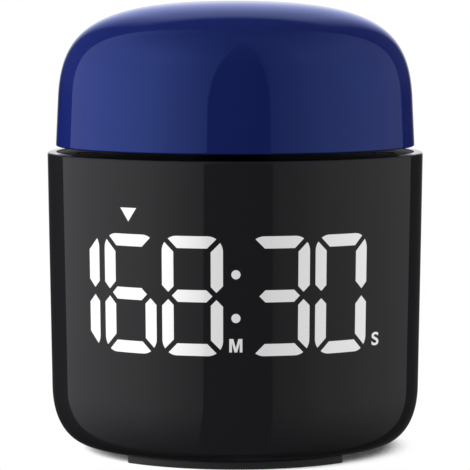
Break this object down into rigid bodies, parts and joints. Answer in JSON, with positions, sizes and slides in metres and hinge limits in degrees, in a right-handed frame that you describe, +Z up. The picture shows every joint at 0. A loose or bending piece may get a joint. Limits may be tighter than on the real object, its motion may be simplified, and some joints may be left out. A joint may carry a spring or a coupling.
{
  "type": "countdown timer",
  "caption": "Cylindrical countdown timer with a dome knob that turns and presses, a curved segment readout, a rear slide switch and a battery cover.",
  "frame": {"origin": "centre of the foot's underside, where the timer stands", "axes": "+Z up along the knob's axis, -Y towards the readout, +X to the right as the readout is read"},
  "size_m": [0.064, 0.0643, 0.0762],
  "materials": {
    "black_gloss": "mirror-gloss black",
    "blue_gloss": "mirror-gloss deep blue",
    "foot_rubber": "fine matte, non-slip",
    "black_matte": "fine spark texture",
    "screw_steel": "zinc plated",
    "cell_can": "printed sleeve on a steel can",
    "contact_metal": "nickel plated",
    "white_plastic": "as moulded",
    "milky_plastic": "milky, translucent in the real part",
    "board_green": "solder resist on glass fibre",
    "led_white": "clear resin",
    "chip_black": "moulded epoxy",
    "switch_metal": "tinned sheet",
    "encoder_plastic": "as moulded",
    "encoder_metal": "turned, nickel plated",
    "hub_plastic": "as moulded"
  },
  "bodies": {
    "housing": {"body_shell": "black_gloss", "foot": "foot_rubber", "battery_tray": "black_matte", "tray_screws": "screw_steel", "cell_left": "cell_can", "cell_right": "cell_can", "rear_contacts": "contact_metal", "front_contacts": "contact_metal", "display_reflector": "white_plastic", "segment_diffusers": "milky_plastic", "display_board": "board_green", "display_leds": "led_white", "display_screws": "screw_steel", "controller_chip": "chip_black", "knob_board": "board_green", "rear_board": "board_green", "board_headers": "chip_black", "sounder": "chip_black", "switch_body": "switch_metal", "top_deck": "black_gloss", "deck_screws": "screw_steel", "encoder_body": "encoder_plastic", "encoder_bushing": "encoder_metal", "encoder_nut": "encoder_metal", "return_spring": "contact_metal"},
    "press_plunger": {"push_plunger": "white_plastic"},
    "knob": {"dome_knob": "blue_gloss", "knob_hub": "hub_plastic", "hub_screws": "screw_steel", "encoder_shaft": "encoder_metal"},
    "battery_cover": {"battery_door": "black_matte"},
    "switch": {"switch_slider": "black_matte"}
  },
  "joints": [
    {"name": "knob_press", "type": "slide", "parent": "housing", "child": "press_plunger", "axis": [0, 0, -1], "range_m": [0, 0.0006], "stiffness_N_per_m": 3333, "springref_m": -0.0006, "deforming": ["return_spring"]},
    {"name": "knob_turn", "type": "hinge", "parent": "press_plunger", "child": "knob", "pos_m": [0, 0, 0.05], "axis": [0, 0, 1], "continuous": true},
    {"name": "battery_cover_open", "type": "hinge", "parent": "housing", "child": "battery_cover", "pos_m": [0, -0.02442, 0.00133], "axis": [-1, 0, 0], "range_deg": [0, 38]},
    {"name": "switch_slide", "type": "slide", "parent": "housing", "child": "switch", "axis": [1, 0, 0], "range_m": [-0.002, 0.002]}
  ]
}
